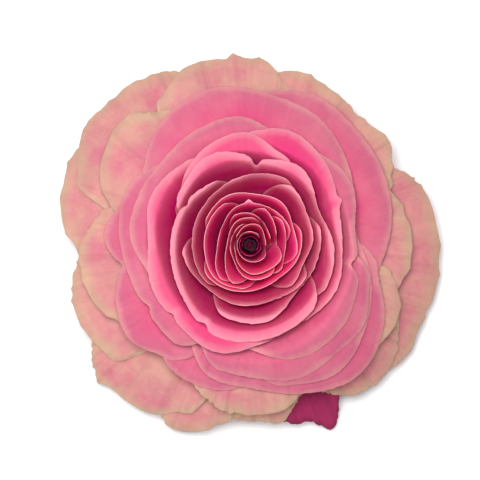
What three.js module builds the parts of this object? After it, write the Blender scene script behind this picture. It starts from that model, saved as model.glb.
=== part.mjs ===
// A fully open garden rose, picked just below its hip and set down face up.
// Millimetres, +Z up. The origin is the middle of its box at the surface it rests on.
// Forty-nine petals, five sepals, the hip, a cut stalk, the stamens and the styles.
import * as THREE from 'three';
import { mergeVertices } from 'three/addons/utils/BufferGeometryUtils.js';

// ---- driving dimensions -------------------------------------------------------------
const STALK_RADIUS = 2.8;
const HIP_BOTTOM = 7;          // height of the cut stalk below the hip
const HIP_TOP = 20;            // height of the receptacle's middle, where the petals start
const HIP_BULGE = 6.6;
const HIP_NECK = 3.0;
const CLEARANCE = 0.3;         // air between pieces that touch in life
const FIRST_CLAW_RADIUS = 1.7; // innermost petal's foot, from the axis
const CLAW_REACH = 5.7;        // how much further out the outermost petal's foot is
const CLAW_DROP = 4.2;         // how much lower it is
const SEPAL_COUNT = 5;
const FIRST_SEPAL = 20;        // bearing in degrees

// Height of the bloom's crown at a distance from the axis. A petal follows this crown less
// its own drop, which grows with its wall radius, so an outer petal always lies lower. LEAN is
// how far a rim at a distance reaches out past its wall, and CURL, over the wall's radius, the
// width in which the petal turns over from wall to rim.
const CROWN = [[0, 49], [6, 49.5], [12, 51.5], [17, 54.5], [24, 59.5], [29, 60.2],
  [34, 57.5], [40, 53.5], [46, 49.5], [52, 45], [58, 38.5], [62, 33]];
const DROP = [[0, 0], [15, 3], [22, 7.2], [36, 20], [62, 38]];
const LEAN = [[0, 0.4], [15, 0.7], [19, 1.8], [24, 4], [30, 7.5], [36, 12], [46, 17], [56, 22]];
const CURL = [[0, 0.3], [14, 0.8], [20, 2.2], [26, 6.5], [36, 13], [60, 17]];

// A whorl's petals share a thickness, the least air to the wall inside, the bearing steps over
// which the wall is eased, the share of its length over which it opens from its claw to its
// full width, the degrees that one facet spans, the rows up the petal, and the colour.
const WHORLS = {
  heart: {
    thick: 0.22, gap: 0.70, ease: 2, opens: 0.75, facet: 18, along: 5, colour: '#c23a62',
  },
  cup: {
    thick: 0.26, gap: 1.4, ease: 3, opens: 0.6, facet: 10, along: 8, colour: '#dd5f84',
  },
  bowl: {
    thick: 0.32, gap: 1.2, ease: 5, opens: 0.85, facet: 12, along: 7, colour: '#da7d92',
  },
  guard: {
    thick: 0.30, gap: 1.7, ease: 9, opens: 0.6, facet: 6, along: 9, colour: '#d9a196',
  },
};

// Each petal, from the heart outwards: its whorl, the bearings in degrees where it starts
// and ends, and its rim's distance from the axis at equal steps between them.
const PETALS = [
  ['heart', -30, 180, [2.4, 2.5, 2.4]],
  ['heart', 150, 350, [3.2, 3.3, 3.2]],
  ['heart', 60, 318, [3.9, 4.0, 3.9, 4.1, 4.9, 5.6]],
  ['heart', -40, 140, [4.9, 4.6, 4.9, 6.3, 5.8, 4.9]],
  ['heart', 180, 335, [4.7, 5.1, 6.8, 8.6, 9.0, 9.9]],
  ['heart', 112, 303, [6.5, 5.9, 6.0, 6.8, 9.9, 10.7]],
  ['heart', 86, 244, [8.0, 8.1, 7.1, 6.9, 8.8, 12.3]],
  ['heart', -15, 116, [6.4, 6.2, 6.6, 7.9, 9.3, 9.9]],
  ['heart', -14, 68, [7.7, 7.9, 8.2, 9.0, 10.2, 11.4]],
  ['heart', -38, 38, [11.6, 10.6, 10.5, 11.0, 11.7]],
  ['heart', 25, 228, [12.6, 12.3, 12.1, 9.9, 9.9, 13.2]],
  ['heart', 125, 256, [14.3, 13.8, 13.6, 14.3, 13.2]],
  ['heart', -8, 145, [13.9, 13.6, 15.5, 15.0, 16.0, 15.2]],
  ['heart', 215, 374, [15.6, 14.5, 13.3, 12.9, 14.4, 15.4]],
  ['cup', -42, 54, [17, 16.5, 18.5, 19, 21]],
  ['cup', 62, 218, [22, 20.5, 18.5, 17.5, 17, 17]],
  ['cup', 188, 327, [20, 18, 18, 17.5, 19]],
  ['cup', 252, 373, [22.5, 23, 19.5, 20, 21]],
  ['cup', 122, 312, [21.5, 23, 23.5, 25, 28.5, 28, 26.5]],
  ['cup', -30, 142, [25.5, 24.5, 22.5, 27, 25.5, 29, 26]],
  ['cup', 76, 148, [28.5, 33, 32, 29, 25]],
  ['cup', -52, 92, [27.5, 28.5, 27, 28, 32.5, 35.5, 32.5]],
  ['cup', 128, 278, [31, 32.5, 30, 31.5, 31.5, 33, 29]],
  ['bowl', 266, 418, [30, 36, 36.5, 33.5, 31, 35, 33.5]],
  ['bowl', 74, 196, [33, 38, 37.5, 36, 36, 35.5, 31]],
  ['bowl', 134, 232, [35, 40, 39, 37, 36, 36.5]],
  ['bowl', 256, 342, [38, 39.5, 42, 41, 41, 37]],
  ['bowl', 16, 148, [32, 37, 42.5, 45, 48, 45, 38]],
  ['bowl', 284, 365, [43, 46, 42, 37, 31.5]],
  ['bowl', 232, 348, [31, 40.5, 42.5, 47, 50.5, 46.5, 38.5]],
  ['bowl', 162, 232, [40, 43.5, 39.5, 43.5, 45.5, 42]],
  ['bowl', 222, 272, [37, 43, 44.5, 44, 41]],
  ['bowl', -28, 84, [36.5, 39, 42.5, 45, 46.5, 48.5, 46]],
  ['guard', 122, 170, [47, 53, 52, 48, 38.5]],
  ['guard', 168, 216, [45.5, 50.5, 51, 48.5, 42.5]],
  ['guard', 250, 293, [46, 50, 50.5, 50, 44]],
  ['guard', -44, -12, [45.5, 48.5, 49, 47.5, 43]],
  ['guard', -24, 28, [42.5, 47.5, 48, 46.5, 43]],
  ['guard', 73, 122, [46, 55, 56, 56.5, 51]],
  ['guard', 24, 84, [46.5, 51.5, 50.5, 52, 54, 50]],
  ['guard', 106, 160, [54, 59, 60.5, 60.5, 55]],
  ['guard', 144, 184, [56.5, 60, 59, 56.5, 51]],
  ['guard', 174, 220, [49, 52, 56, 55.5, 53.5]],
  ['guard', 208, 250, [54, 60, 60, 58.5, 53.5]],
  ['guard', 238, 270, [55.5, 60, 58.5, 54, 50]],
  ['guard', 258, 288, [51.5, 52.5, 53, 54, 48]],
  ['guard', 294, 334, [48, 54.5, 56.5, 54.5, 49.5]],
  ['guard', 308, 394, [53, 57.5, 57, 57.5, 56.5, 54, 46]],
  ['guard', 276, 302, [51.5, 55, 56.5, 60, 51]],
];

// ---- small curves -------------------------------------------------------------------
const clamp01 = (x) => Math.min(1, Math.max(0, x));
const smooth = (x) => { const t = clamp01(x); return t * t * (3 - 2 * t); };
const radians = (degrees) => degrees * Math.PI / 180;

// Catmull-Rom curve through values at equal steps.
function alongRow(values, fraction) {
  const x = clamp01(fraction) * (values.length - 1);
  const i = Math.min(values.length - 2, Math.floor(x));
  const t = x - i;
  const [a, b, c, d] = [-1, 0, 1, 2].map((k) =>
    values[Math.min(values.length - 1, Math.max(0, i + k))]);
  return b + 0.5 * t * (c - a + t * (2 * a - 5 * b + 4 * c - d + t * (3 * (b - c) + d - a)));
}

// Straight lines between points, eased at the joins by averaging over a short stretch.
function alongPoints(points, x) {
  const at = (p) => {
    const i = points.findIndex((point) => point[0] >= p);
    if (i === 0) return points[0][1];
    if (i < 0) return points[points.length - 1][1];
    const [[x0, y0], [x1, y1]] = [points[i - 1], points[i]];
    return y0 + (y1 - y0) * (p - x0) / (x1 - x0);
  };
  return (at(x - 2) + at(x - 1) + 2 * at(x) + at(x + 1) + at(x + 2)) / 6;
}

// ---- where each petal stands --------------------------------------------------------
// Walking outwards, a petal's wall stands at its rim less its lean, but never closer to the
// wall inside than the whorl's gap. The widest value nearby, then averaged, keeps it smooth.
const BEARING_STEP = 3;
const RING = 360 / BEARING_STEP;
const CLAW_HALF = 9;           // degrees either side, at the foot
const CLAW_SPACING = 22;       // degrees between the feet of petals that follow each other
const CLAW_MEMORY = 6;
const SHOULDER = 0.14;         // how much shorter a petal is at its rounded side corners
const CLAW_SHARE = 0.06;       // share of its length over which a petal stays a narrow claw

function placePetals() {
  const taken = new Array(RING).fill(FIRST_CLAW_RADIUS);
  const feet = [];
  return PETALS.map(([whorl, from, to, rim], index) => {
    const kind = WHORLS[whorl];
    const first = Math.floor(from / BEARING_STEP);
    const last = Math.ceil(to / BEARING_STEP);
    const wish = [];
    for (let i = first; i <= last; i += 1) {
      const reach = alongRow(rim, (i * BEARING_STEP - from) / (to - from));
      wish.push(Math.max(reach - alongPoints(LEAN, reach), taken[(i + RING) % RING] + kind.gap));
    }
    const near = (row, i) => row.slice(Math.max(0, i - kind.ease), i + kind.ease + 1);
    const widest = wish.map((_, i) => Math.max(...near(wish, i)));
    const wall = widest.map((_, i) =>
      near(widest, i).reduce((sum, value) => sum + value, 0) / near(widest, i).length);
    wall.forEach((value, i) => { taken[(first + i + RING) % RING] = value; });

    const middle = (from + to) / 2;
    const apart = (a, b) => Math.abs(((a - b) % 360 + 540) % 360 - 180);
    const room = Math.max(0, (to - from) / 2 - CLAW_HALF);
    let foot = middle;
    for (let shift = 0; shift <= room; shift += 3) {
      const free = [middle + shift, middle - shift].find((bearing) =>
        feet.slice(-CLAW_MEMORY).every((other) => apart(bearing, other) >= CLAW_SPACING));
      if (free !== undefined) { foot = free; break; }
    }
    feet.push(foot);
    const order = index / (PETALS.length - 1);
    return { whorl, kind, from, to, rim, wall, first, last, foot, order };
  });
}

// ---- a petal ------------------------------------------------------------------------
const STEEP_INSIDE = 14;       // walls up to this radius stand steepest
const BOWL_OUTSIDE = 42;       // walls from this radius on open as a plain bowl
const BOWL_FLATNESS = 1.3;     // above 1, a bowl's bottom is flatter than a quarter wave
const FUNNEL = 0.75;           // share of a steep wall's height that it climbs as a funnel
const TUBE = 6;                // how late the rest of the height comes: higher is steeper
const footRadius = (order) => FIRST_CLAW_RADIUS + CLAW_REACH * order;
const footHeight = (order) => HIP_TOP - CLAW_DROP * order ** 2;

// Height of a petal of this order and wall radius at a distance from the axis: it climbs
// from its foot in a bowl, turns over at the wall, then follows the crown less its drop.
function petalHeight(order, wall, distance) {
  const inner = footRadius(order);
  const climb = clamp01((distance - inner) / (wall + alongPoints(CURL, wall) - inner));
  const base = footHeight(order);
  const crown = alongPoints(CROWN, distance) - alongPoints(DROP, wall);
  const bowl = Math.sin(climb * Math.PI / 2) ** BOWL_FLATNESS;
  const upright = FUNNEL * climb + (1 - FUNNEL) * Math.sin(climb ** TUBE * Math.PI / 2);
  const steep = 1 - smooth((wall - STEEP_INSIDE) / (BOWL_OUTSIDE - STEEP_INSIDE));
  return base + (crown - base) * (bowl + (upright - bowl) * steep);
}

function petalPoint(petal, u, v) {
  const { kind, from, to, rim, wall, first, last, foot, order } = petal;
  const middle = (from + to) / 2;
  const half = (to - from) / 2;
  const open = smooth((v - CLAW_SHARE) / kind.opens);
  const claw = foot + u * CLAW_HALF;
  const bearing = claw + (middle + u * half - claw) * open;
  const level = alongRow(wall, (bearing / BEARING_STEP - first) / (last - first));
  const inner = footRadius(order);
  const reach = (alongRow(rim, (u + 1) / 2) - inner) * (1 - SHOULDER * u ** 8);
  const distance = inner + reach * v;
  const angle = radians(bearing);
  return new THREE.Vector3(distance * Math.cos(angle), distance * Math.sin(angle),
    petalHeight(order, level, distance));
}

// A closed thin shell over a grid of points: each point is moved half the thickness both
// ways along the surface's normal, and a strip joins the two faces all round.
function shell(pointAt, across, along, thick) {
  const normalAt = (u, v) => {
    const step = 0.01;
    const du = pointAt(Math.min(1, u + step), v).sub(pointAt(Math.max(-1, u - step), v));
    const dv = pointAt(u, Math.min(1, v + step)).sub(pointAt(u, Math.max(0, v - step)));
    return du.cross(dv).normalize();
  };
  const positions = [];
  for (const side of [1, -1]) {
    for (let j = 0; j <= along; j += 1) {
      for (let i = 0; i <= across; i += 1) {
        const [u, v] = [2 * i / across - 1, j / along];
        const point = pointAt(u, v).addScaledVector(normalAt(u, v), side * thick / 2);
        positions.push(point.x, point.y, point.z);
      }
    }
  }
  const row = across + 1;
  const other = row * (along + 1);
  const index = [];
  for (let j = 0; j < along; j += 1) {
    for (let i = 0; i < across; i += 1) {
      const a = j * row + i;
      const [b, c, d] = [a + 1, a + row, a + row + 1];
      index.push(a, b, d, a, d, c);
      index.push(other + a, other + d, other + b, other + a, other + c, other + d);
    }
  }
  const border = [];
  for (let i = 0; i < across; i += 1) border.push(i);
  for (let j = 0; j < along; j += 1) border.push(j * row + across);
  for (let i = across; i > 0; i -= 1) border.push(along * row + i);
  for (let j = along; j > 0; j -= 1) border.push(j * row);
  border.forEach((a, k) => {
    const b = border[(k + 1) % border.length];
    index.push(a, other + a, other + b, a, other + b, b);
  });
  const geometry = new THREE.BufferGeometry();
  geometry.setAttribute('position', new THREE.Float32BufferAttribute(positions, 3));
  geometry.setIndex(index);
  return geometry;
}

// ---- the green parts and the middle -------------------------------------------------
function lathe(profile, sides) {
  const turned = new THREE.LatheGeometry(profile.map(([r, z]) => new THREE.Vector2(r, z)), sides);
  turned.rotateX(Math.PI / 2);
  turned.deleteAttribute('normal');
  turned.deleteAttribute('uv');
  return mergeVertices(turned);
}

const HIP_FLARE = 1.6;         // how fast the hip widens above its neck
const HIP_WIDEST = [5, 7];     // heights above the hip's bottom between which it is widest
const BED_DEPTH = 3 * CLEARANCE; // how far below the petals' feet the receptacle lies
const BED_INSET = 0.7;         // how far inside the petals' feet its shoulder lies
const BED_STEPS = 5;

function hipProfile() {
  const profile = [[0, HIP_BOTTOM], [HIP_NECK, HIP_BOTTOM],
    [HIP_NECK + HIP_FLARE, HIP_BOTTOM + HIP_FLARE],
    ...HIP_WIDEST.map((height) => [HIP_BULGE, HIP_BOTTOM + height])];
  for (let i = BED_STEPS; i >= 0; i -= 1) {
    const order = i / BED_STEPS;
    profile.push([footRadius(order) - BED_INSET, footHeight(order) - BED_DEPTH]);
  }
  profile.push([0, HIP_TOP - BED_DEPTH]);
  return profile;
}

const SEPAL_START = HIP_BULGE + 0.7;
const SEPAL_TIP = 31;
const SEPAL_RISE = 12.2;       // how far above its tip a sepal leaves the hip
const SEPAL_WIDTH = 4.2;       // half of it, at the widest
const SEPAL_NECK = 0.55;       // width beside the hip, as a share of the widest
const SEPAL_BLUNT = 0.5;       // half the width of its tip
const SEPAL_THICK = 0.9;
const SEPAL_TROUGH = 0.8;      // how far its edges turn down
const SEPAL_LIFT = 0.05;       // air under its tip

// A sepal leaves the hip, bends back and comes down until its tip meets the surface. It is
// widest a third of the way along.
function sepalPoint(bearing, u, v) {
  const distance = SEPAL_START + (SEPAL_TIP - SEPAL_START) * v;
  const belly = Math.sin(Math.PI * Math.min(1, v * 1.6));
  const half = SEPAL_WIDTH * (SEPAL_NECK + (1 - SEPAL_NECK) * belly) * (1 - v ** 2) + SEPAL_BLUNT;
  const bend = Math.cos(v * Math.PI / 2) ** 0.9;
  const height = SEPAL_THICK / 2 + SEPAL_LIFT + SEPAL_RISE * bend - SEPAL_TROUGH * u * u * (1 - v);
  return new THREE.Vector3(distance, u * half, height)
    .applyAxisAngle(new THREE.Vector3(0, 0, 1), radians(bearing));
}

// The stamens stand as one ring round the styles, with anthers that swell outwards.
const STAMEN_HEIGHT = 6;
const STAMEN_RING = [0.75, 1.15];
const ANTHER_RADIUS = 1.25;
const STYLE_HEIGHT = 5.4;
const STYLE_RADIUS = 0.4;
const STIGMA_RADIUS = 0.55;

function stamenProfile() {
  const [inner, outer] = STAMEN_RING;
  const neck = outer - 0.1;
  return [[inner, HIP_TOP], [outer, HIP_TOP], [neck, HIP_TOP + STAMEN_HEIGHT - 2],
    [ANTHER_RADIUS, HIP_TOP + STAMEN_HEIGHT - 1], [neck, HIP_TOP + STAMEN_HEIGHT],
    [inner, HIP_TOP + STAMEN_HEIGHT - 0.5], [inner, HIP_TOP]];
}

function styleProfile() {
  return [[0, HIP_TOP], [STYLE_RADIUS, HIP_TOP], [STYLE_RADIUS, HIP_TOP + STYLE_HEIGHT - 1.4],
    [STIGMA_RADIUS, HIP_TOP + STYLE_HEIGHT - 0.4], [0, HIP_TOP + STYLE_HEIGHT]];
}

// ---- the rose -----------------------------------------------------------------------
const rose = new THREE.Group();
const flower = new THREE.Group();
rose.add(flower);

function add(name, geometry, colour, roughness = 0.6) {
  const material = new THREE.MeshStandardMaterial({ color: colour, roughness, metalness: 0 });
  const mesh = new THREE.Mesh(geometry, material);
  mesh.name = name;
  flower.add(mesh);
}

const counts = {};
for (const petal of placePetals()) {
  counts[petal.whorl] = (counts[petal.whorl] || 0) + 1;
  const name = `${petal.whorl}_petal_${String(counts[petal.whorl]).padStart(2, '0')}`;
  const { facet, along, thick, colour } = petal.kind;
  const across = Math.ceil((petal.to - petal.from) / facet);
  add(name, shell((u, v) => petalPoint(petal, u, v), across, along, thick), colour);
}
for (let i = 0; i < SEPAL_COUNT; i += 1) {
  const bearing = FIRST_SEPAL + i * 360 / SEPAL_COUNT;
  const blade = shell((u, v) => sepalPoint(bearing, u, v), 2, 7, SEPAL_THICK);
  add(`sepal_${i + 1}`, blade, '#5f7d3a', 0.7);
}
add('hip', lathe(hipProfile(), 24), '#55752f', 0.5);
add('stalk', lathe([[0, 0], [STALK_RADIUS, 0], [STALK_RADIUS, HIP_BOTTOM - CLEARANCE],
  [0, HIP_BOTTOM - CLEARANCE]], 20), '#5c7a35', 0.6);
add('stamens', lathe(stamenProfile(), 12), '#5a2a1e', 0.8);
add('styles', lathe(styleProfile(), 10), '#4a1c26', 0.7);

// The group is set so that the middle of its box, at the bottom, is the origin.
const box = new THREE.Box3().setFromObject(rose);
flower.position.set(-(box.min.x + box.max.x) / 2, -(box.min.y + box.max.y) / 2, -box.min.z);

export default rose;
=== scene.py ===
"""A fully open garden rose seen face up: forty-nine petals round a dark heart, its sepals, hip
and cut stalk. Every petal is one surface of two parameters, bearing across and foot to rim."""
import math

import bpy
import numpy as np
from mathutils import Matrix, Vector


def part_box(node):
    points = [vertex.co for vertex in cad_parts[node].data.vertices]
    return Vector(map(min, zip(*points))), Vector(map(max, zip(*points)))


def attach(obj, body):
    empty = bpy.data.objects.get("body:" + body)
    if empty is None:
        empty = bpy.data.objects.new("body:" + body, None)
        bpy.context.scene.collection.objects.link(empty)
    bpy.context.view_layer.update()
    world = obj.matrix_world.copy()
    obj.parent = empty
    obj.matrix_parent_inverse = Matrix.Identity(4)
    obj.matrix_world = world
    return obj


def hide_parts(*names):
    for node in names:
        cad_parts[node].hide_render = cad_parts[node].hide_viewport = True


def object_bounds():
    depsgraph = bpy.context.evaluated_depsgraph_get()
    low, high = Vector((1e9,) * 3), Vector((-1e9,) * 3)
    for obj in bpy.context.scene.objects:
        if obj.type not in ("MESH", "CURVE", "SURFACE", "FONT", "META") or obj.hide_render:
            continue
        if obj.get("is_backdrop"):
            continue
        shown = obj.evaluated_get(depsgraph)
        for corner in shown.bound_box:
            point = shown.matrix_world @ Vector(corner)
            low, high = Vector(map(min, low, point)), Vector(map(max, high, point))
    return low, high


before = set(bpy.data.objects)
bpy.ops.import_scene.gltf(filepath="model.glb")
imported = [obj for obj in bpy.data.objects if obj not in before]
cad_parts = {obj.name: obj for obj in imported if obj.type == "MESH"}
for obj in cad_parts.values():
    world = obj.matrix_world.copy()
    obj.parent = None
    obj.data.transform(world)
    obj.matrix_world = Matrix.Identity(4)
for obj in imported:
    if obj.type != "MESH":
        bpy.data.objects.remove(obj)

bl_info = {
    "name": "Open Rose",
    "version": (1, 0, 0),
    "blender": (4, 5, 0),
    "location": "View3D > Sidebar > Rose",
    "description": "Builds a fully open rose from whorls of petals round its packed frame",
    "category": "Add Mesh",
}

MM = 0.001

# ---- the plant's own sizes, in millimetres ---------------------------------------------
HIP_TOP = 20.0            # height of the receptacle's middle
HIP_BOTTOM = 7.0
HIP_BULGE = 6.6
HIP_NECK = 3.0
STALK_RADIUS = 2.8
FIRST_CLAW_RADIUS = 1.7   # innermost petal's foot, from the axis
CLAW_REACH = 5.7          # how much further out the outermost petal's foot is
CLAW_DROP = 4.2           # how much lower it is
CLAW_HALF = 9.0           # degrees either side of a foot
CLAW_SPACING = 22         # degrees between the feet of petals that follow each other
CLAW_MEMORY = 6
CLAW_SHARE = 0.06         # share of its length over which a petal stays a narrow claw
STEEP_INSIDE = 14.0       # walls up to this radius stand steepest
BOWL_OUTSIDE = 42.0       # walls from this radius on open as a plain bowl
BOWL_FLATNESS = 1.3       # above 1, a bowl's bottom is flatter than a quarter wave
FUNNEL = 0.75             # share of a steep wall's height that it climbs as a funnel
TUBE = 6                  # how late the rest of the height comes: higher is steeper
BEARING_STEP = 3          # degrees between the places where a wall's radius is kept
SEPALS = 5
FIRST_SEPAL = 20          # its bearing, in degrees
SEPAL_TIP = 31.0          # distance of a sepal's tip from the axis
SEPAL_HEIGHT = 13.2       # height at which it leaves the hip
SEPAL_THICK = 0.9
SEPAL_HALF_WIDTH = 4.2
STAMEN_HEIGHT = 6         # above the receptacle's middle
STYLE_HEIGHT = 5.4

# Crown height over distance from the axis, a petal's drop below it over the radius of its
# wall, how far a rim at a distance leans out past its wall, and, over the wall's radius, the
# width in which the petal turns over from wall to rim.
CROWN = ((0, 49), (6, 49.5), (12, 51.5), (17, 54.5), (24, 59.5), (29, 60.2),
         (34, 57.5), (40, 53.5), (46, 49.5), (52, 45), (58, 38.5), (62, 33))
DROP = ((0, 0), (15, 3), (22, 7.2), (36, 20), (62, 38))
LEAN = ((0, 0.4), (15, 0.7), (19, 1.8), (24, 4), (30, 7.5), (36, 12), (46, 17), (56, 22))
CURL = ((0, 0.3), (14, 0.8), (20, 2.2), (26, 6.5), (36, 13), (60, 17))

# A whorl's petals: degrees over which each end dives between its neighbours and the share of
# its reach lost there, least air to the wall inside, bearing steps of easing, and the share of
# the length over which a petal opens. Then the finer shape: thickness, rows up the petal,
# depth and wavelength of the frill along the rim, depth and spacing of the points between
# scallops, depth of the slow waves, depth of the folds, and how far and over what width the
# lip rolls over.
WHORLS = {
    "heart": dict(tuck=26, dive=0.30, gap=0.70, ease=2, opens=0.75, thick=0.20,
                  rows=36, frill=0.08, frill_wave=3.0, points=0.0, points_wave=6.0, wave=0.12,
                  fold=0.04, lip=0.25, lip_width=0.8),
    "cup": dict(tuck=22, dive=0.30, gap=1.4, ease=3, opens=0.6, thick=0.24, rows=42,
                frill=0.16, frill_wave=4.5, points=0.12, points_wave=7.0, wave=0.28, fold=0.08,
                lip=0.9, lip_width=2.6),
    "bowl": dict(tuck=16, dive=0.26, gap=1.2, ease=5, opens=0.85, thick=0.24, rows=44,
                 frill=0.18, frill_wave=5.0, points=0.15, points_wave=8.0, wave=0.45, fold=0.16,
                 lip=0.8, lip_width=2.5),
    "guard": dict(tuck=7, dive=0.28, gap=1.7, ease=9, opens=0.6, thick=0.24, rows=46,
                  frill=0.14, frill_wave=4.0, points=0.75, points_wave=10.0, wave=1.10,
                  fold=0.42, lip=0.5, lip_width=2.0),
}

# Wavelengths in millimetres along the rim that all whorls share, and the sizes of the skin's
# patterns.
SLOW_WAVE = 22.0
FOLD_WAVE = 5.5
FRILL_SWELL = 6.0         # over which the frill grows and fades
SCALLOP_SWELL = 4.0       # over which the scallops do
CLOUD = 9.0               # drift of the colours up and down
VEIN_PITCH = 1.2
VEIN_LENGTH = 16.0        # before a vein forks
CREASE = 4.5              # crinkles, where the petal has begun to dry

# Each petal, from the heart outwards: its whorl, the bearings in degrees where it starts
# and ends, and its rim's distance from the axis at equal steps between them.
PETALS = (
    ("heart", -30, 180, (2.4, 2.5, 2.4)),
    ("heart", 150, 350, (3.2, 3.3, 3.2)),
    ("heart", 60, 318, (3.9, 4.0, 3.9, 4.1, 4.9, 5.6)),
    ("heart", -40, 140, (4.9, 4.6, 4.9, 6.3, 5.8, 4.9)),
    ("heart", 180, 335, (4.7, 5.1, 6.8, 8.6, 9.0, 9.9)),
    ("heart", 112, 303, (6.5, 5.9, 6.0, 6.8, 9.9, 10.7)),
    ("heart", 86, 244, (8.0, 8.1, 7.1, 6.9, 8.8, 12.3)),
    ("heart", -15, 116, (6.4, 6.2, 6.6, 7.9, 9.3, 9.9)),
    ("heart", -14, 68, (7.7, 7.9, 8.2, 9.0, 10.2, 11.4)),
    ("heart", -38, 38, (11.6, 10.6, 10.5, 11.0, 11.7)),
    ("heart", 25, 228, (12.6, 12.3, 12.1, 9.9, 9.9, 13.2)),
    ("heart", 125, 256, (14.3, 13.8, 13.6, 14.3, 13.2)),
    ("heart", -8, 145, (13.9, 13.6, 15.5, 15.0, 16.0, 15.2)),
    ("heart", 215, 374, (15.6, 14.5, 13.3, 12.9, 14.4, 15.4)),
    ("cup", -42, 54, (17, 16.5, 18.5, 19, 21)),
    ("cup", 62, 218, (22, 20.5, 18.5, 17.5, 17, 17)),
    ("cup", 188, 327, (20, 18, 18, 17.5, 19)),
    ("cup", 252, 373, (22.5, 23, 19.5, 20, 21)),
    ("cup", 122, 312, (21.5, 23, 23.5, 25, 28.5, 28, 26.5)),
    ("cup", -30, 142, (25.5, 24.5, 22.5, 27, 25.5, 29, 26)),
    ("cup", 73, 148, (28.5, 33, 32, 29, 25)),
    ("cup", -52, 96, (27.5, 28.5, 27, 28, 32.5, 35.5, 32.5)),
    ("cup", 128, 278, (31, 32.5, 30, 31.5, 31.5, 33, 29)),
    ("bowl", 266, 418, (30, 36, 36.5, 33.5, 31, 35, 33.5)),
    ("bowl", 74, 196, (33, 38, 37.5, 36, 36, 35.5, 31)),
    ("bowl", 134, 232, (35, 40, 39, 37, 36, 36.5)),
    ("bowl", 256, 342, (38, 39.5, 42, 41, 41, 37)),
    ("bowl", 16, 148, (32, 37, 42.5, 45, 48, 45, 38)),
    ("bowl", 284, 365, (43, 46, 42, 37, 31.5)),
    ("bowl", 232, 348, (31, 40.5, 42.5, 47, 50.5, 46.5, 38.5)),
    ("bowl", 162, 232, (40, 43.5, 39.5, 43.5, 45.5, 42)),
    ("bowl", 222, 272, (37, 43, 44.5, 44, 41)),
    ("bowl", -28, 84, (36.5, 39, 42.5, 45, 46.5, 48.5, 46)),
    ("guard", 122, 170, (47, 53, 52, 48, 38.5)),
    ("guard", 168, 216, (45.5, 50.5, 51, 48.5, 42.5)),
    ("guard", 250, 293, (46, 50, 50.5, 50, 44)),
    ("guard", -44, -12, (45.5, 48.5, 49, 47.5, 43)),
    ("guard", -24, 28, (42.5, 47.5, 48, 46.5, 43)),
    ("guard", 73, 122, (46, 55, 56, 56.5, 51)),
    ("guard", 24, 86, (46.5, 51.5, 50.5, 52, 54, 50)),
    ("guard", 106, 160, (54, 59, 60.5, 60.5, 55)),
    ("guard", 144, 184, (56.5, 60, 59, 56.5, 51)),
    ("guard", 174, 220, (49, 52, 56, 55.5, 53.5)),
    ("guard", 208, 250, (54, 60, 60, 58.5, 53.5)),
    ("guard", 238, 270, (55.5, 60, 58.5, 54, 50)),
    ("guard", 258, 288, (51.5, 52.5, 53, 54, 48)),
    ("guard", 294, 334, (48, 54.5, 56.5, 54.5, 49.5)),
    ("guard", 308, 394, (53, 57.5, 57, 57.5, 56.5, 54, 46)),
    ("guard", 276, 302, (51.5, 55, 56.5, 60, 51)),
)
MAGENTA_PETAL = "guard_petal_16"      # the one dark petal that shows past the others
# Painted shade and light: the heart's first petals are coloured dark as the shade of the deep
# middle, and the next ones, up to the count below, have their painted shade start further down,
# painted light for light reaching into the heart.
SHADED_PETALS = 2                       # the heart's first petals, round the dark middle
LIT_PETALS = 7                     # the ones after them, up to this one, stay bright far down

# Nicks and points along a rim: piece, bearing in degrees, change in reach, half-width.
RIM_MARKS = (
    ("cup_petal_06", 86, -2.2, 3.0),
    ("cup_petal_08", 26, 1.2, 2.5),
    ("cup_petal_09", 222, -1.0, 2.5),
    ("cup_petal_05", 148, -0.9, 3.0),
    ("cup_petal_05", 240, -1.3, 3.0),
    ("bowl_petal_01", 349, -2.4, 4.0),
    ("bowl_petal_03", 211, -1.2, 3.0),
    ("bowl_petal_08", 189, -1.2, 2.5),
    ("heart_petal_11", 92, 1.1, 4.0),
    ("guard_petal_06", 95, 1.8, 1.6),
    ("guard_petal_11", 222, 1.5, 2.0),
    ("guard_petal_16", 293, 1.2, 2.0),
)

# ---- the stage, in metres and watts ----------------------------------------------------
FLOOR_HALF = 3.0
VIEW_ACROSS = 0.144                   # what the view's width takes in at the level of the rims
RIM_LEVEL = 0.4                       # that level, as a share of the rose's height
CAMERA_HEIGHT = 1.3
CAMERA_ASIDE = (-0.0031, 0.0016)      # the bloom sits a little right of and below the middle
SKY_STRENGTH = 0.37
AIM_HEIGHT = 0.03                     # the lamps point at the bloom's middle, this high
LAMPS = (("overhead", (-0.05, 0.10, 1.0), 0.3, 11.5),     # name, place, size, power
         ("side", (-0.7, -0.3, 0.6), 0.5, 2.0))


# ---- colours and nodes -----------------------------------------------------------------
def linear(hex_colour):
    """An sRGB hex colour as linear red, green, blue."""
    parts = np.array([int(hex_colour[i:i + 2], 16) for i in (1, 3, 5)]) / 255.0
    low, high = parts / 12.92, ((parts + 0.055) / 1.055) ** 2.4
    return tuple(np.where(parts <= 0.04045, low, high))


def add_node(tree, kind, settings=None, links=None):
    """One node: settings by property name or input name, links as {input: (node, output)}."""
    made = tree.nodes.new(kind)
    for key, value in (settings or {}).items():
        if hasattr(made, str(key)) and not isinstance(key, int) and key not in made.inputs:
            setattr(made, key, value)
        else:
            made.inputs[key].default_value = value
    for key, (source, output) in (links or {}).items():
        tree.links.new(source.outputs[output], made.inputs[key])
    return made


def fill_ramp(ramp_node, stops):
    """Puts (place, linear colour) stops on a colour ramp."""
    ramp = ramp_node.color_ramp
    while len(ramp.elements) < len(stops):
        ramp.elements.new(1.0)
    for element, (place, colour) in zip(ramp.elements, stops):
        element.position = place
        element.color = (*colour, 1.0)


def colour_property(name, description, hex_colour):
    return bpy.props.FloatVectorProperty(
        name=name, description=description, subtype="COLOR", size=3, min=0, max=1,
        default=linear(hex_colour))


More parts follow.
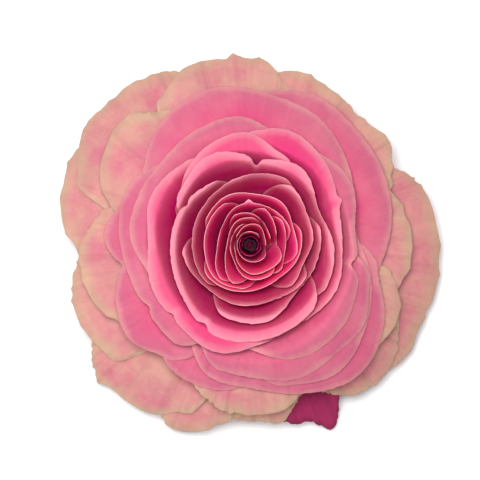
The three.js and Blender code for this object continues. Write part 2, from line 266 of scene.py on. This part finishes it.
class RoseSettings(bpy.types.PropertyGroup):
    """Sizes and colours that a user would change."""
    fineness: bpy.props.FloatProperty(
        name="Facet size", description="Width of a facet along a petal's rim",
        default=0.65 * MM, unit="LENGTH", min=0.2 * MM)
    ruffle: bpy.props.FloatProperty(
        name="Ruffle", description="Strength of the frills, waves and folds", default=1.0,
        min=0, subtype="FACTOR", max=2)
    # Painted shade: the deepest colour, at the petals' feet, stands for the shade down in the
    # bloom.
    shadow_pink: colour_property("Petal foot", "Deepest colour, down in the bloom", "#94084A")
    heart_pink: colour_property("Heart pink", "Colour of the heart's petals", "#FC6698")
    # The colours low on the petals are partly the petals' deeper colour and partly painted shade.
    heart_deep: colour_property("Heart deep", "Colour low on the heart's petals", "#E8307E")
    deep_pink: colour_property("Deep pink", "Colour low on the cup's petals", "#C41464")
    mid_pink: colour_property("Pink", "Colour of the cup's petals", "#CC4470")
    # Painted highlight: the pale colour along the heart's rims stands for light catching them.
    painted_rim_highlight: colour_property("Pale rim", "Colour of a rim that catches light", "#FBA6B6")
    dusty_pink: colour_property("Dusty pink", "Colour of the bowl's petals", "#BC5E78")
    peach: colour_property("Peach", "Colour of the guard petals", "#C2727E")
    cream: colour_property("Cream", "Colour at the guard petals' edges", "#B8967F")
    # Painted highlight: the cup's rolled rims are coloured paler where light catches them.
    cup_rim_highlight: colour_property("Cup rim", "Colour of the cup's rolled rims", "#DE8496")
    rim_peach: colour_property("Peach rim", "Colour of the bowl's thin rims", "#CC8288")
    highlight: colour_property("Peach bloom", "Palest patches of the guard petals", "#CFA28C")
    # Painted shade: the bloom's middle and the parts in it are coloured this dark because they
    # lie in deep shade.
    middle_shade: colour_property("Wine", "Colour of the bloom's hidden middle", "#4A0C26")
    magenta: colour_property("Magenta", "Colour of the one dark outer petal", "#972B55")
    leaf: colour_property("Sepal green", "Colour of the sepals and hip", "#5B7A36")


class WhorlFinish:
    """How one whorl's petals are coloured: stops from the rim down over a depth in mm, which
    paint a highlight at the rim and shade down in the bloom along with the petal's own
    deepening colour, how many mm the colours drift up and down, blotches as (colour, share,
    size in mm), and how strongly the skin is crinkled."""

    def __init__(self, name, stops, depth, drift, blotches=(), crinkle=0.0):
        self.name, self.stops, self.depth, self.drift = name, stops, depth, drift
        self.blotches, self.crinkle = blotches, crinkle


def petal_material(finish):
    """Living petal: a skin of tiny cones over watery tissue, so it is matt, with hardly any
    gloss, and light spreads a little way beneath it."""
    material = bpy.data.materials.new(finish.name)
    material.use_nodes = True
    tree = material.node_tree
    tree.nodes.clear()
    # Lengths in millimetres: x runs along the rim, y down the petal from the rim.
    lengths = add_node(tree, "ShaderNodeUVMap", {"uv_map": "lengths"})
    split = add_node(tree, "ShaderNodeSeparateXYZ", None, {0: (lengths, 0)})
    place = add_node(tree, "ShaderNodeTexCoord")
    cloud = add_node(tree, "ShaderNodeTexNoise", {"Scale": 1 / (CLOUD * MM), "Detail": 3.0},
                     {"Vector": (place, "Object")})
    shift = add_node(tree, "ShaderNodeMath",
                     {"operation": "MULTIPLY_ADD", 1: 2 * finish.drift, 2: -finish.drift},
                     {0: (cloud, 0)})
    below = add_node(tree, "ShaderNodeMath", {"operation": "ADD"},
                     {0: (split, "Y"), 1: (shift, 0)})
    # The ramp down the petal paints light and shade: a painted highlight at the rim and painted
    # shade deeper in the bloom, along with the petal's own deepening colour.
    share = add_node(tree, "ShaderNodeMath",
                     {"operation": "DIVIDE", 1: finish.depth, "use_clamp": True},
                     {0: (below, 0)})
    ramp = add_node(tree, "ShaderNodeValToRGB", None, {0: (share, 0)})
    fill_ramp(ramp, finish.stops)
    colour = (ramp, 0)
    for tone, most, size in finish.blotches:
        patches = add_node(tree, "ShaderNodeTexNoise",
                           {"Scale": 1 / (size * MM), "Detail": 4.0, "Roughness": 0.6},
                           {"Vector": (place, "Object")})
        amount = add_node(tree, "ShaderNodeMapRange",
                          {"From Min": 0.42, "From Max": 0.62, "To Max": most},
                          {"Value": (patches, 0)})
        mixed = add_node(tree, "ShaderNodeMix",
                         {"data_type": "RGBA", "clamp_factor": True, 7: (*tone, 1)},
                         {0: (amount, 0), 6: colour})
        colour = (mixed, 2)
    # Veins that fan up the petal.
    stretch = add_node(tree, "ShaderNodeMapping",
                       {"Scale": (1 / VEIN_PITCH, 1 / VEIN_LENGTH, 1)}, {"Vector": (lengths, 0)})
    veins = add_node(tree, "ShaderNodeTexNoise", {"Scale": 1.0, "Detail": 2.0},
                     {"Vector": (stretch, 0)})
    depth = add_node(tree, "ShaderNodeMapRange",
                     {"From Min": 0.35, "From Max": 0.65, "To Min": 0.965, "To Max": 1.02},
                     {"Value": (veins, 0)})
    veined = add_node(tree, "ShaderNodeVectorMath", {"operation": "SCALE"},
                      {0: colour, "Scale": (depth, 0)})
    fine = add_node(tree, "ShaderNodeBump", {"Strength": 0.2, "Distance": 0.10 * MM},
                    {"Height": (veins, 0)})
    creased = add_node(tree, "ShaderNodeTexNoise", {"Scale": 1 / (CREASE * MM), "Detail": 3.0},
                       {"Vector": (place, "Object")})
    bump = add_node(tree, "ShaderNodeBump", {"Strength": finish.crinkle, "Distance": 0.8 * MM},
                    {"Height": (creased, 0), "Normal": (fine, 0)})
    skin = add_node(
        tree, "ShaderNodeBsdfPrincipled",
        {"Roughness": 0.75, "IOR": 1.4, "Specular IOR Level": 0.06, "Subsurface Weight": 0.15,
         "Subsurface Radius": (1.0, 0.42, 0.36), "Subsurface Scale": 0.9 * MM},
        {"Base Color": (veined, 0), "Normal": (bump, 0)})
    add_node(tree, "ShaderNodeOutputMaterial", None, {"Surface": (skin, 0)})
    return material


def green_material(name, colour, paler, grain_mm, roughness, gloss=0.5, glow=0.1,
                   top=None):
    """Green rind or leaf, or the stamens and styles of the middle, coloured dark as painted
    shade:
    matt, mottled along its length, as waxy as its gloss, with a glow of light spreading beneath
    it. Top is a colour that takes over above a height in mm; on the hip it is painted shade."""
    material = bpy.data.materials.new(name)
    material.use_nodes = True
    tree = material.node_tree
    tree.nodes.clear()
    place = add_node(tree, "ShaderNodeTexCoord")
    stretch = add_node(tree, "ShaderNodeMapping", {"Scale": (1, 1, 0.4)},
                       {"Vector": (place, "Object")})
    grain = add_node(tree, "ShaderNodeTexNoise", {"Scale": 1 / (grain_mm * MM), "Detail": 4.0},
                     {"Vector": (stretch, 0)})
    ramp = add_node(tree, "ShaderNodeValToRGB", None, {0: (grain, 0)})
    fill_ramp(ramp, ((0.3, colour), (0.7, paler)))
    shade = (ramp, 0)
    if top:
        split = add_node(tree, "ShaderNodeSeparateXYZ", None, {0: (place, "Object")})
        above = add_node(tree, "ShaderNodeMath", {"operation": "GREATER_THAN", 1: top[1] * MM},
                         {0: (split, "Z")})
        mixed = add_node(tree, "ShaderNodeMix", {"data_type": "RGBA", 7: (*top[0], 1)},
                         {0: (above, 0), 6: shade})
        shade = (mixed, 2)
    bump = add_node(tree, "ShaderNodeBump", {"Strength": 0.4, "Distance": 0.15 * MM},
                    {"Height": (grain, 0)})
    skin = add_node(tree, "ShaderNodeBsdfPrincipled",
                    {"Roughness": roughness, "IOR": 1.42, "Specular IOR Level": gloss,
                     "Subsurface Weight": glow, "Subsurface Radius": (0.4, 1.0, 0.3),
                     "Subsurface Scale": 0.8 * MM},
                    {"Base Color": shade, "Normal": (bump, 0)})
    add_node(tree, "ShaderNodeOutputMaterial", None, {"Surface": (skin, 0)})
    return material


# ---- curves ----------------------------------------------------------------------------
def smooth(x):
    """Smooth step from 0 to 1."""
    t = np.clip(x, 0, 1)
    return t * t * (3 - 2 * t)


def along_row(values, fraction):
    """Catmull-Rom curve through values at equal steps, at a fraction from 0 to 1."""
    values = np.asarray(values, float)
    x = np.clip(fraction, 0, 1) * (len(values) - 1)
    i = np.minimum(len(values) - 2, np.floor(x)).astype(int)
    t = x - i
    a, b, c, d = (values[np.clip(i + k, 0, len(values) - 1)] for k in (-1, 0, 1, 2))
    return b + 0.5 * t * (c - a + t * (2 * a - 5 * b + 4 * c - d + t * (3 * (b - c) + d - a)))


def along_points(points, x):
    """Straight lines between points, eased at the joins by a weighted mean 2 mm each way."""
    xs, ys = np.array(points, float).T
    places = ((-2, 1), (-1, 1), (0, 2), (1, 1), (2, 1))
    return sum(weight * np.interp(x + step, xs, ys) for step, weight in places) / 6


def wavy(x, seed, octaves=3):
    """Smooth noise from -1 to 1: sines of rising pitch, with phases from the seed."""
    random = np.random.default_rng(seed)
    total = np.zeros_like(x)
    for k in range(octaves):
        pitch = (1 + 0.3 * random.random()) * 1.83 ** k
        total = total + np.sin(pitch * x + random.random() * math.tau) / 1.5 ** k
    return total / 2.2


# ---- where each petal stands -----------------------------------------------------------
def place_petals():
    """Each petal with its name, foot bearing and wall. Walking outwards, a wall stands at the
    rim less the lean, but no nearer the wall inside than the whorl's gap. The widest value
    nearby, then averaged, keeps it smooth."""
    ring = 360 // BEARING_STEP
    taken = np.full(ring, FIRST_CLAW_RADIUS)
    feet, placed, counts = [], [], {}
    for index, (whorl, rim_start, rim_end, rim) in enumerate(PETALS):
        kind = WHORLS[whorl]
        start, end = rim_start - kind["tuck"], rim_end + kind["tuck"]
        first, last = math.floor(start / BEARING_STEP), math.ceil(end / BEARING_STEP)
        bins = np.arange(first, last + 1)
        reach = along_row(rim, (bins * BEARING_STEP - rim_start) / (rim_end - rim_start))
        wall = np.maximum(reach - along_points(LEAN, reach), taken[bins % ring] + kind["gap"])
        for gather in (np.max, np.mean):
            wall = np.array([gather(wall[max(0, i - kind["ease"]):i + kind["ease"] + 1])
                             for i in range(len(bins))])
        taken[bins % ring] = wall
        middle = (start + end) / 2
        room = max(0, (end - start) / 2 - CLAW_HALF)
        tries = [middle + side * shift for shift in np.arange(0, room + 1e-6, 3)
                 for side in (1, -1)]
        free = [bearing for bearing in tries
                if all(abs((bearing - other + 180) % 360 - 180) >= CLAW_SPACING
                       for other in feet[-CLAW_MEMORY:])]
        feet.append(free[0] if free else middle)
        counts[whorl] = counts.get(whorl, 0) + 1
        placed.append(dict(
            name=f"{whorl}_petal_{counts[whorl]:02d}", whorl=whorl, start=start, end=end,
            rim=rim, wall=wall, first=first, last=last, foot=feet[-1],
            order=index / (len(PETALS) - 1), seed=index + 1))
    return placed


def petal_points(petal, u, v, ruffle):
    """The petal's middle surface. Bearing opens from the claw to the full span, and the
    distance from the axis runs from the foot to the rim, whose reach has nicks, points and a
    frill and shrinks at both ends, where the rim dives. Height climbs as a blend of a steep
    funnel and a bowl to the crown less the petal's drop, and has slow waves, folds up the
    petal and a lip that rolls down at the rim. Returns points, millimetres along the rim and
    millimetres down the surface from the rim."""
    kind = WHORLS[petal["whorl"]]
    middle = (petal["start"] + petal["end"]) / 2
    half = (petal["end"] - petal["start"]) / 2
    claw = petal["foot"] + u * CLAW_HALF
    bearing = claw + (middle + u * half - claw) * smooth((v - CLAW_SHARE) / kind["opens"])
    place = (bearing / BEARING_STEP - petal["first"]) / (petal["last"] - petal["first"])
    wall = along_row(petal["wall"], place)
    order = petal["order"]
    foot = FIRST_CLAW_RADIUS + CLAW_REACH * order
    base = HIP_TOP - CLAW_DROP * order ** 2

    full = middle + u * half
    tuck = kind["tuck"]
    rim = along_row(petal["rim"], (full - petal["start"] - tuck) / (2 * (half - tuck)))
    for name, at, change, width in RIM_MARKS:
        if name == petal["name"]:
            rim = rim + change * np.exp(-((full - at) / width) ** 2)
    arc = np.radians(full) * rim
    frill = wavy(arc * math.tau / kind["frill_wave"], petal["seed"] * 7)
    frill = frill * (0.6 + 0.4 * wavy(arc / FRILL_SWELL, petal["seed"] * 7 + 1))
    # Rounded scallops that meet in outward points.
    scallops = 1 - 2 * np.abs(wavy(arc * math.pi / kind["points_wave"], petal["seed"] * 7 + 4, 2))
    scallops = scallops * (0.65 + 0.35 * wavy(arc / SCALLOP_SWELL, petal["seed"] * 7 + 5))
    jags = kind["frill"] * frill + kind["points"] * scallops
    past = np.clip((np.abs(full - middle) - half) / tuck + 1, 0, 1)
    reach = (rim - foot) * (1 - kind["dive"] * past ** 1.7) + ruffle * jags * v ** 5
    distance = foot + reach * v

    climb = np.clip((distance - foot) / (wall + along_points(CURL, wall) - foot), 0, 1)
    crown = along_points(CROWN, distance) - along_points(DROP, wall)
    bowl = np.sin(climb * math.pi / 2) ** BOWL_FLATNESS
    upright = FUNNEL * climb + (1 - FUNNEL) * np.sin(climb ** TUBE * math.pi / 2)
    steep = 1 - smooth((wall - STEEP_INSIDE) / (BOWL_OUTSIDE - STEEP_INSIDE))
    height = base + (crown - base) * (bowl + (upright - bowl) * steep)
    slow = wavy(arc * math.tau / SLOW_WAVE, petal["seed"] * 7 + 2) * v ** 3
    folds = wavy(arc * math.tau / FOLD_WAVE + 1.5 * v, petal["seed"] * 7 + 3) * v ** 1.5
    inside = (1 - v) * reach
    lip = -kind["lip"] * np.clip(1 - inside / kind["lip_width"], 0, 1) ** 2
    height = height + ruffle * (kind["wave"] * slow + kind["fold"] * folds) + lip
    angle = np.radians(bearing)
    points = np.stack([distance * np.cos(angle), distance * np.sin(angle), height], axis=-1)
    steps = np.linalg.norm(np.diff(points, axis=0), axis=-1)
    below = np.zeros_like(height)
    below[:-1] = np.cumsum(steps[::-1], axis=0)[::-1]
    return points, arc, below


def shell_mesh(name, points, thickness, lengths):
    """A closed thin shell over a grid of points: each point is moved half its thickness both
    ways along the surface's normal, and a strip joins the two faces all round."""
    rows, columns = points.shape[:2]
    across = np.gradient(points, axis=1)
    along = np.gradient(points, axis=0)
    normal = np.cross(across, along)
    normal /= np.maximum(np.linalg.norm(normal, axis=-1, keepdims=True), 1e-9)
    offset = normal * (thickness / 2)[..., None]
    verts = np.concatenate([(points + offset).reshape(-1, 3), (points - offset).reshape(-1, 3)])
    grid = np.arange(rows * columns).reshape(rows, columns)
    a, b, c, d = grid[:-1, :-1], grid[:-1, 1:], grid[1:, 1:], grid[1:, :-1]
    top = np.stack([a, b, c, d], axis=-1).reshape(-1, 4)
    under = np.stack([a, d, c, b], axis=-1).reshape(-1, 4) + rows * columns
    edge = np.concatenate([grid[0, :-1], grid[:-1, -1], grid[-1, :0:-1], grid[:0:-1, 0]])
    following = np.roll(edge, -1)
    strip = np.stack([edge, edge + rows * columns, following + rows * columns, following],
                     axis=-1)
    faces = np.concatenate([top, under, strip])
    mesh = bpy.data.meshes.new(name)
    mesh.from_pydata((verts * MM).tolist(), [], faces.tolist())
    layer = mesh.uv_layers.new(name="lengths")
    uv = np.concatenate([lengths.reshape(-1, 2)] * 2)[faces.reshape(-1)]
    layer.data.foreach_set("uv", uv.astype(np.float32).ravel())
    mesh.polygons.foreach_set("use_smooth", np.ones(len(faces), bool))
    mesh.update()
    return mesh


# ---- the frame -------------------------------------------------------------------------
def axis_shift():
    """The flower's axis in millimetres: the middle of the hip, seen from above."""
    low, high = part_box("hip")
    return np.array([(low[0] + high[0]) / 2, (low[1] + high[1]) / 2, 0.0]) / MM


def hand_over(mesh, material, node):
    """Makes the object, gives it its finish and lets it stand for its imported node."""
    mesh.materials.append(material)
    piece = bpy.data.objects.new(node + "_form", mesh)
    bpy.context.scene.collection.objects.link(piece)
    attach(piece, "root")
    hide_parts(node)
    return piece


def build_whorl(settings, whorl, materials):
    """Builds every petal of a whorl. Materials is {name: material, None: the usual one}."""
    kind = WHORLS[whorl]
    shift = axis_shift()
    for petal in place_petals():
        if petal["whorl"] != whorl:
            continue
        span = math.radians(petal["end"] - petal["start"]) * max(petal["rim"])
        columns = max(24, int(span / (settings.fineness / MM)))
        # Rows crowd towards the rim, where the petal turns over.
        u, t = np.meshgrid(np.linspace(-1, 1, columns + 1), np.linspace(0, 1, kind["rows"] + 1))
        v = 1 - (1 - t) ** 1.5
        points, arc, below = petal_points(petal, u, v, settings.ruffle)
        thickness = kind["thick"] * (1.15 - 0.6 * v ** 2)
        mesh = shell_mesh(petal["name"], points + shift, thickness,
                          np.stack([arc, below], axis=-1))
        hand_over(mesh, materials.get(petal["name"], materials[None]), petal["name"])


# ---- operators -------------------------------------------------------------------------
class ROSE_OT_heart(bpy.types.Operator):
    """Build the heart: fourteen upright petals rolled round the dark middle"""
    bl_idname = "rose.heart"
    bl_label = "Heart petals"

    def execute(self, context):
        s = context.scene.rose_settings
        # Colours down the petal: a painted highlight at the rim, the heart's pink, then painted
        # shade deeper down. In the bright stops the painted shade starts further down, as painted
        # light.
        bright = ((0.0, tuple(s.painted_rim_highlight)), (0.05, tuple(s.heart_pink)),
                  (0.4, tuple(s.heart_deep)), (1.0, tuple(s.shadow_pink)))
        stops = ((0.0, tuple(s.painted_rim_highlight)), (0.03, tuple(s.heart_pink)),
                 (0.16, tuple(s.heart_deep)), (0.6, tuple(s.shadow_pink)))
        # The first petals are painted dark, as the shade of the deep middle.
        dark = ((0.0, tuple(s.heart_deep)), (0.05, tuple(s.shadow_pink)), (0.5, tuple(s.middle_shade)))
        inmost = petal_material(WhorlFinish("inmost heart petal skin", dark, 30.0, 0.3))
        inner = petal_material(WhorlFinish("inner heart petal skin", bright, 30.0, 0.4))
        materials = {f"heart_petal_{i + 1:02d}": inmost if i < SHADED_PETALS else inner
                     for i in range(LIT_PETALS)}
        materials[None] = petal_material(WhorlFinish("heart petal skin", stops, 30.0, 0.4))
        build_whorl(s, "heart", materials)
        return {"FINISHED"}


class ROSE_OT_cup(bpy.types.Operator):
    """Build the cup: nine petals with rims rolled outwards"""
    bl_idname = "rose.cup"
    bl_label = "Cup petals"

    def execute(self, context):
        s = context.scene.rose_settings
        # A painted highlight on the rolled rim, then pink, then deeper colour that is partly
        # painted shade, and painted shade at the foot; the peach patches are the petals' own
        # tone.
        stops = ((0.0, tuple(s.cup_rim_highlight)), (0.10, tuple(s.mid_pink)),
                 (0.32, tuple(s.deep_pink)), (0.65, tuple(s.shadow_pink)))
        blotches = ((tuple(s.rim_peach), 0.15, 17.0),)
        build_whorl(s, "cup", {None: petal_material(
            WhorlFinish("cup petal skin", stops, 36.0, 1.2, blotches))})
        return {"FINISHED"}


class ROSE_OT_bowl(bpy.types.Operator):
    """Build the bowl: ten wide petals that lean out"""
    bl_idname = "rose.bowl"
    bl_label = "Bowl petals"

    def execute(self, context):
        s = context.scene.rose_settings
        # Towards the foot the colour deepens, partly as painted shade; the peach rim and patches
        # are the petals' own tone.
        stops = ((0.0, tuple(s.rim_peach)), (0.07, tuple(s.dusty_pink)),
                 (0.38, tuple(s.mid_pink)), (0.9, tuple(s.deep_pink)))
        build_whorl(s, "bowl", {None: petal_material(
            WhorlFinish("bowl petal skin", stops, 40.0, 2.5,
                        ((tuple(s.rim_peach), 0.25, 15.0),), 0.15))})
        return {"FINISHED"}


class ROSE_OT_guard(bpy.types.Operator):
    """Build the guard petals: fifteen peach and cream ones and the one dark one"""
    bl_idname = "rose.guard"
    bl_label = "Guard petals"

    def execute(self, context):
        s = context.scene.rose_settings
        stops = ((0.0, tuple(s.cream)), (0.14, tuple(s.peach)), (0.5, tuple(s.dusty_pink)),
                 (1.0, tuple(s.mid_pink)))
        # The dark petal: its deep magenta is partly its own colour and partly painted shade of
        # the low place where it shows between the others; darker towards its rim and its foot.
        dark = ((0.0, tuple(c * 0.6 for c in s.magenta)), (0.12, tuple(s.magenta)),
                (1.0, tuple(c * 0.7 for c in s.magenta)))
        patches = ((tuple(s.cream), 0.45, 19.0), (tuple(s.highlight), 0.38, 11.0))
        build_whorl(s, "guard", {
            None: petal_material(
                WhorlFinish("guard petal skin", stops, 44.0, 5.0, patches, 0.6)),
            MAGENTA_PETAL: petal_material(
                WhorlFinish("dark guard petal skin", dark, 30.0, 2.0, (), 0.4)),
        })
        return {"FINISHED"}


class ROSE_OT_sepals(bpy.types.Operator):
    """Build the five sepals, bent back until their tips hang just above the surface"""
    bl_idname = "rose.sepals"
    bl_label = "Sepals"

    def execute(self, context):
        s = context.scene.rose_settings
        green = tuple(s.leaf)
        material = green_material("sepal leaf", green, tuple(c * 1.5 for c in green), 1.6, 0.6)
        start, thick = HIP_BULGE + 0.7, SEPAL_THICK
        u, v = np.meshgrid(np.linspace(-1, 1, 17), np.linspace(0, 1, 61))
        belly = 0.55 + 0.45 * np.sin(np.pi * np.minimum(1, v * 1.6))
        width = SEPAL_HALF_WIDTH * belly * (1 - v ** 2) + 0.5
        distance = start + (SEPAL_TIP - start) * v
        # The blade turns down from a raised midrib to its thinner edges.
        height = thick / 2 + 0.05 + (SEPAL_HEIGHT - 1) * np.cos(v * np.pi / 2) ** 0.9
        height = height - 0.8 * u ** 2 * (1 - v) + 0.15 * np.exp(-(u / 0.12) ** 2) * (1 - v)
        for i in range(SEPALS):
            angle = math.radians(FIRST_SEPAL + 360 / SEPALS * i)
            side = u * width * (1 + 0.06 * np.sin(v * 38 + i))
            points = np.stack([distance * math.cos(angle) - side * math.sin(angle),
                               distance * math.sin(angle) + side * math.cos(angle),
                               height], axis=-1)
            mesh = shell_mesh(f"sepal_{i + 1}", points + axis_shift(),
                              thick * (1 - 0.6 * u ** 2), np.stack([side, distance], axis=-1))
            hand_over(mesh, material, f"sepal_{i + 1}")
        return {"FINISHED"}


def lathe_mesh(name, profile, sides, lobes=0, lobe_depth=0.0):
    """A profile of (radius, height) points turned about the flower's axis, closed on the axis
    or on itself; lobes ripple the radius round the turn."""
    profile = np.array(profile, float)
    closed = profile[0, 0] > 0
    turn = np.linspace(0, math.tau, sides, endpoint=False)
    ripple = 1 + lobe_depth * np.cos(lobes * turn)
    rings = profile[:, None, 0] * ripple
    points = np.stack([rings * np.cos(turn), rings * np.sin(turn),
                       np.repeat(profile[:, 1:], sides, axis=1)], axis=-1) + axis_shift()
    grid = np.arange(len(profile) * sides).reshape(len(profile), sides)
    grid = np.vstack([grid, grid[:1]]) if closed else grid
    right = np.roll(grid, -1, axis=1)
    if closed:
        quads = np.stack([grid[:-1], right[:-1], right[1:], grid[1:]], axis=-1).reshape(-1, 4)
        faces, verts = quads.tolist(), points.reshape(-1, 3)
    else:
        inner = grid[1:-1]
        near = np.roll(inner, -1, axis=1)
        quads = np.stack([inner[:-1], near[:-1], near[1:], inner[1:]], axis=-1).reshape(-1, 4)
        bottom = np.stack([np.full(sides, grid[0, 0]), near[0], inner[0]], axis=-1)
        top = np.stack([np.full(sides, grid[-1, 0]), inner[-1], near[-1]], axis=-1)
        faces, verts = quads.tolist() + bottom.tolist() + top.tolist(), points.reshape(-1, 3)
    mesh = bpy.data.meshes.new(name)
    mesh.from_pydata((verts * MM).tolist(), [], faces)
    mesh.polygons.foreach_set("use_smooth", np.ones(len(faces), bool))
    mesh.update()
    mesh.validate()
    return mesh


class ROSE_OT_hip(bpy.types.Operator):
    """Build the hip, which carries the petals, and the cut stalk below it"""
    bl_idname = "rose.hip"
    bl_label = "Hip and stalk"

    def execute(self, context):
        s = context.scene.rose_settings
        green = tuple(s.leaf)
        # Painted shade: inside the petals, the receptacle's top is coloured as dark as the shade
        # down there.
        skin = green_material("hip rind", tuple(c * 0.85 for c in green), green, 2.2, 0.45,
                              top=(tuple(s.middle_shade), HIP_TOP - CLAW_DROP))
        rind = green_material("stalk rind", tuple(c * 0.8 for c in green), green, 1.2, 0.5)
        order = np.linspace(1, 0, 9)
        shoulder = np.stack([FIRST_CLAW_RADIUS + CLAW_REACH * order - 0.7,
                             HIP_TOP - CLAW_DROP * order ** 2 - 0.9], axis=-1)
        body = [(0, HIP_BOTTOM), (HIP_NECK, HIP_BOTTOM)]
        rise = np.linspace(0, 1, 14)[1:]
        body += [(HIP_NECK + (HIP_BULGE - HIP_NECK) * math.sin(t * math.pi / 2),
                  HIP_BOTTOM + 7 * t) for t in rise]
        profile = np.vstack([np.array(body), shoulder, [(0, HIP_TOP - 0.9)]])
        hand_over(lathe_mesh("hip", profile, 96, 5, 0.015), skin, "hip")
        stalk = [(0, 0), (STALK_RADIUS - 0.2, 0), (STALK_RADIUS, 0.25), (STALK_RADIUS, 3),
                 (STALK_RADIUS, HIP_BOTTOM - 0.5), (STALK_RADIUS - 0.2, HIP_BOTTOM - 0.3),
                 (0, HIP_BOTTOM - 0.3)]
        hand_over(lathe_mesh("stalk", stalk, 72, 7, 0.01), rind, "stalk")
        return {"FINISHED"}


class ROSE_OT_middle(bpy.types.Operator):
    """Build the stamens and styles, hidden in the bloom's middle and coloured dark as painted
    shade
    """
    bl_idname = "rose.middle"
    bl_label = "Stamens and styles"

    def execute(self, context):
        s = context.scene.rose_settings
        # Painted shade: stamens and styles take the dark of the shaded middle, not their own
        # colours.
        middle_shade = tuple(s.middle_shade)
        shadow = tuple(s.shadow_pink)
        shaded_pollen = green_material("stamen pollen", middle_shade, shadow, 0.5, 0.8, 0.0, 0.0)
        tissue = green_material("style tissue", middle_shade, shadow, 0.6, 0.8, 0.0, 0.0)
        ring = [(0.75, HIP_TOP), (1.15, HIP_TOP), (1.05, HIP_TOP + 4), (1.25, HIP_TOP + 5),
                (1.1, HIP_TOP + STAMEN_HEIGHT), (0.8, HIP_TOP + STAMEN_HEIGHT - 0.5)]
        hand_over(lathe_mesh("stamens", ring, 96, 12, 0.06), shaded_pollen, "stamens")
        column = [(0, HIP_TOP), (0.4, HIP_TOP), (0.35, HIP_TOP + 4), (0.55, HIP_TOP + 5),
                  (0.4, HIP_TOP + STYLE_HEIGHT - 0.05), (0, HIP_TOP + STYLE_HEIGHT)]
        hand_over(lathe_mesh("styles", column, 48, 5, 0.06), tissue, "styles")
        return {"FINISHED"}


class ROSE_OT_stage(bpy.types.Operator):
    """Lay the pale floor, hang the soft lights and set the camera straight above"""
    bl_idname = "rose.stage"
    bl_label = "Stage"

    def execute(self, context):
        scene = context.scene
        half = FLOOR_HALF
        mesh = bpy.data.meshes.new("floor")
        mesh.from_pydata([(-half, -half, 0), (half, -half, 0), (half, half, 0),
                          (-half, half, 0)], [], [(0, 1, 2, 3)])
        paper = bpy.data.materials.new("matt white paper")
        paper.use_nodes = True
        skin = paper.node_tree.nodes["Principled BSDF"]
        skin.inputs["Base Color"].default_value = (*linear("#FAFAFA"), 1)
        skin.inputs["Roughness"].default_value = 0.9
        mesh.materials.append(paper)
        floor = bpy.data.objects.new("floor", mesh)
        scene.collection.objects.link(floor)
        floor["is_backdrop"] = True

        world = bpy.data.worlds.new("studio")
        world.use_nodes = True
        world.node_tree.nodes["Background"].inputs["Color"].default_value = (1, 1, 1, 1)
        world.node_tree.nodes["Background"].inputs["Strength"].default_value = SKY_STRENGTH
        scene.world = world
        for name, spot, size, power in LAMPS:
            lamp = bpy.data.lights.new(name, "AREA")
            lamp.size, lamp.energy = size, power
            holder = bpy.data.objects.new(name, lamp)
            holder.location = spot
            aim = np.array((0, 0, AIM_HEIGHT)) - np.array(spot)
            yaw, pitch = math.atan2(aim[0], -aim[1]), math.acos(-aim[2] / np.linalg.norm(aim))
            holder.rotation_euler = (pitch, 0, yaw + math.pi)
            scene.collection.objects.link(holder)

        low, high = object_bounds()
        camera = bpy.data.cameras.new("camera")
        camera.sensor_width = 36.0
        rim_height = (low[2] + high[2]) * RIM_LEVEL
        camera.lens = camera.sensor_width * (CAMERA_HEIGHT - rim_height) / VIEW_ACROSS
        holder = bpy.data.objects.new("camera", camera)
        holder.location = (*CAMERA_ASIDE, CAMERA_HEIGHT)
        scene.collection.objects.link(holder)
        scene.camera = holder
        scene.view_settings.view_transform = "Standard"
        return {"FINISHED"}


OPERATORS = (ROSE_OT_stage, ROSE_OT_heart, ROSE_OT_cup, ROSE_OT_bowl, ROSE_OT_guard,
             ROSE_OT_sepals, ROSE_OT_hip, ROSE_OT_middle)


class ROSE_PT_panel(bpy.types.Panel):
    """The rose's steps and settings"""
    bl_label = "Open Rose"
    bl_idname = "ROSE_PT_panel"
    bl_space_type = "VIEW_3D"
    bl_region_type = "UI"
    bl_category = "Rose"

    def draw(self, context):
        for name in RoseSettings.__annotations__:
            self.layout.prop(context.scene.rose_settings, name)
        for step in OPERATORS:
            self.layout.operator(step.bl_idname)


def register():
    for kind in (RoseSettings, *OPERATORS, ROSE_PT_panel):
        bpy.utils.register_class(kind)
    bpy.types.Scene.rose_settings = bpy.props.PointerProperty(type=RoseSettings)


def unregister():
    del bpy.types.Scene.rose_settings
    for kind in reversed((RoseSettings, *OPERATORS, ROSE_PT_panel)):
        bpy.utils.unregister_class(kind)


def main():
    """Builds the whole rose: registers its steps and runs them."""
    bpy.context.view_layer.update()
    register()
    bpy.ops.rose.stage()
    bpy.ops.rose.heart()
    bpy.ops.rose.cup()
    bpy.ops.rose.bowl()
    bpy.ops.rose.guard()
    bpy.ops.rose.sepals()
    bpy.ops.rose.hip()
    bpy.ops.rose.middle()


if __name__ == "__main__":
    main()
